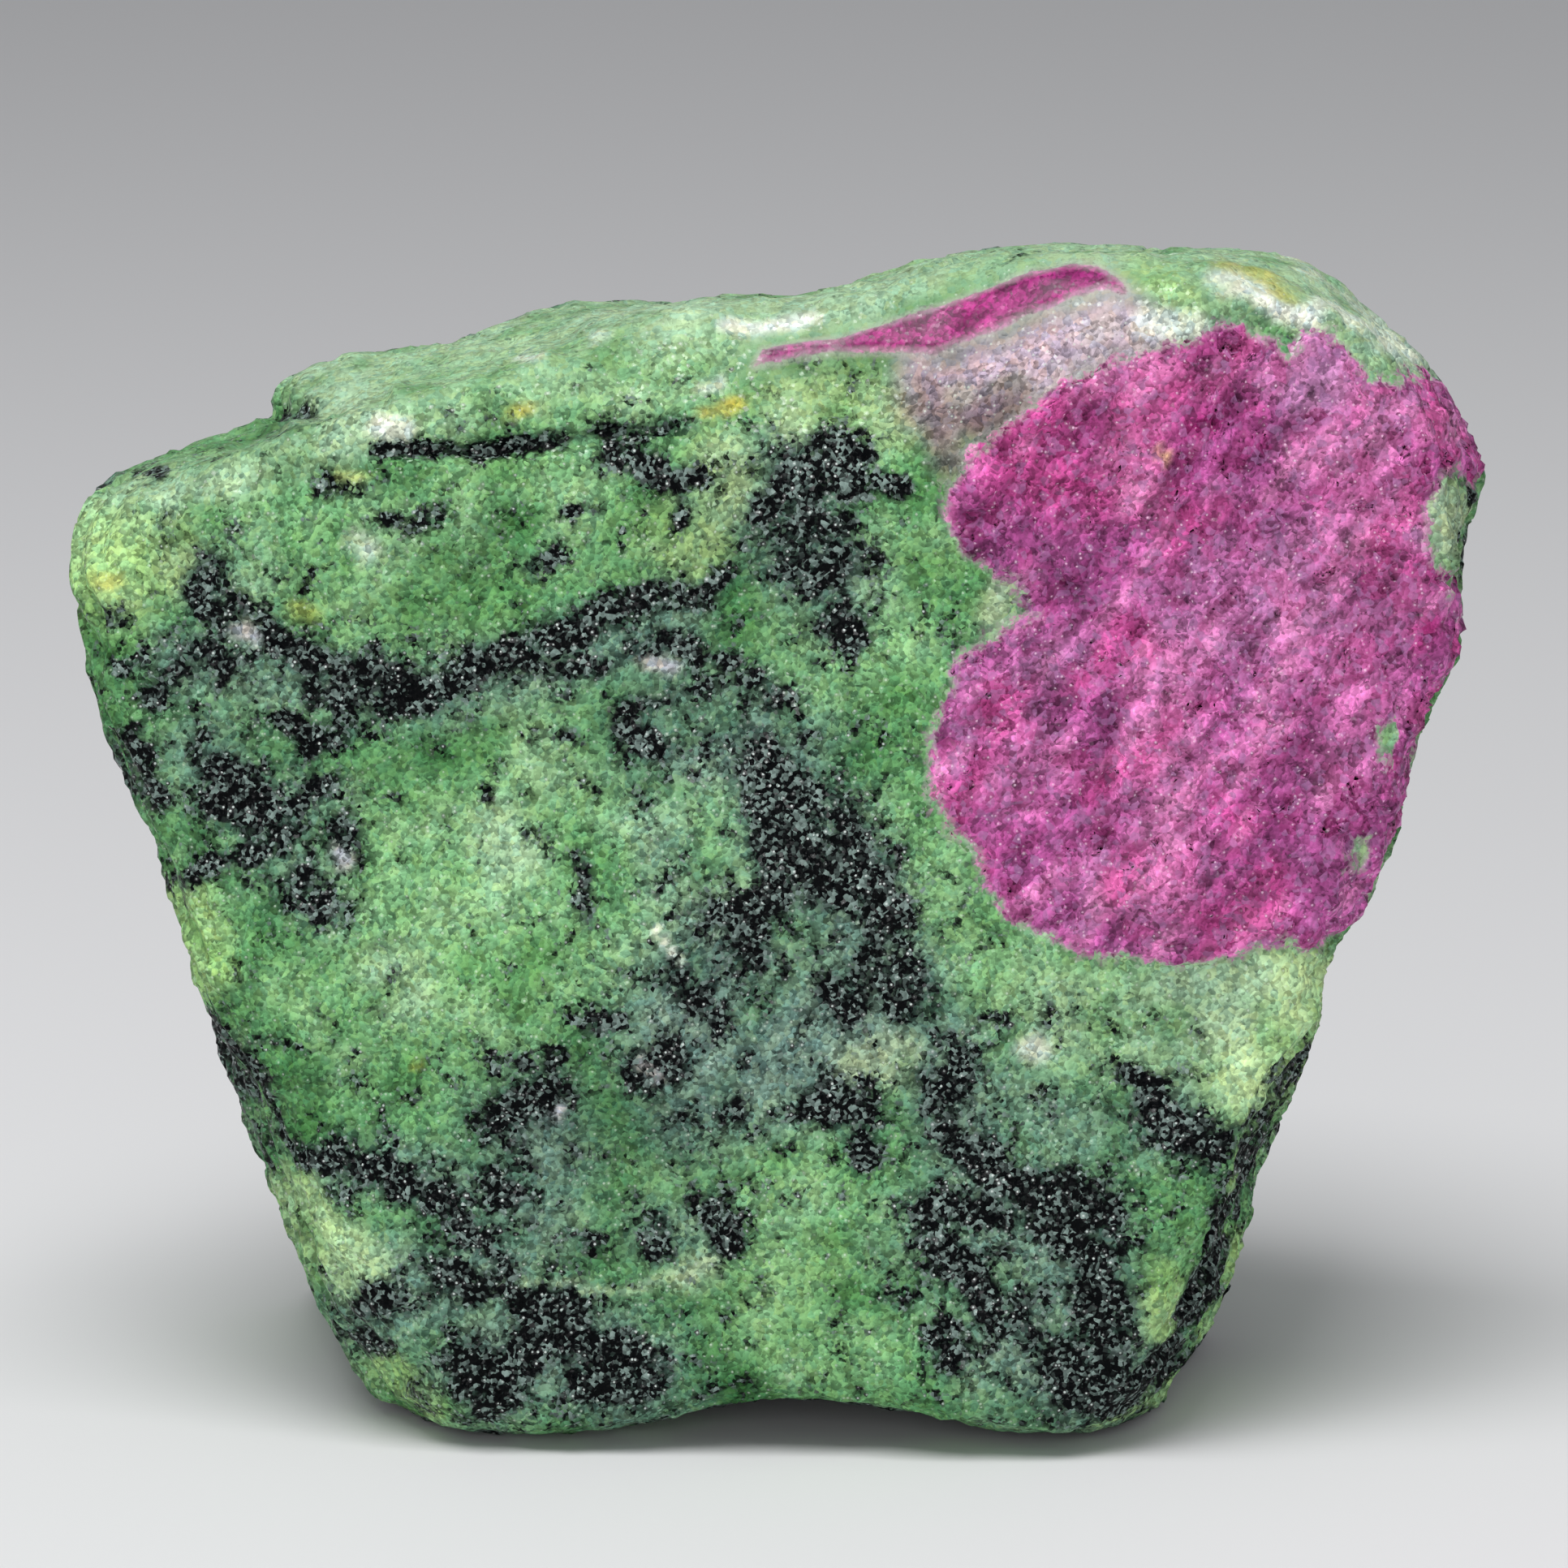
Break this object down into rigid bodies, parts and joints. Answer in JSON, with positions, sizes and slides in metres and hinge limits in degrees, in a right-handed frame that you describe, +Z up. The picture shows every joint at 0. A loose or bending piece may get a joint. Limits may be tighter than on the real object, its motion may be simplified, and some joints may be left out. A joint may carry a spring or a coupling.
{
  "type": "ruby in zoisite specimen",
  "caption": "Rough lump of green zoisite rock with black patches and a large granular pink ruby crystal at its upper right; broad front face, narrow base with worn feet.",
  "frame": {"origin": "centre of the bounding box at its base, where the feet rest on the floor", "axes": "+X to the right across the broad front face, toward the side with the ruby; -Y out of the front face; +Z up"},
  "size_m": [0.068, 0.0394, 0.0578],
  "materials": {
    "zoisite": "satin"
  },
  "bodies": {
    "root": {"stone": "zoisite"}
  },
  "joints": []
}
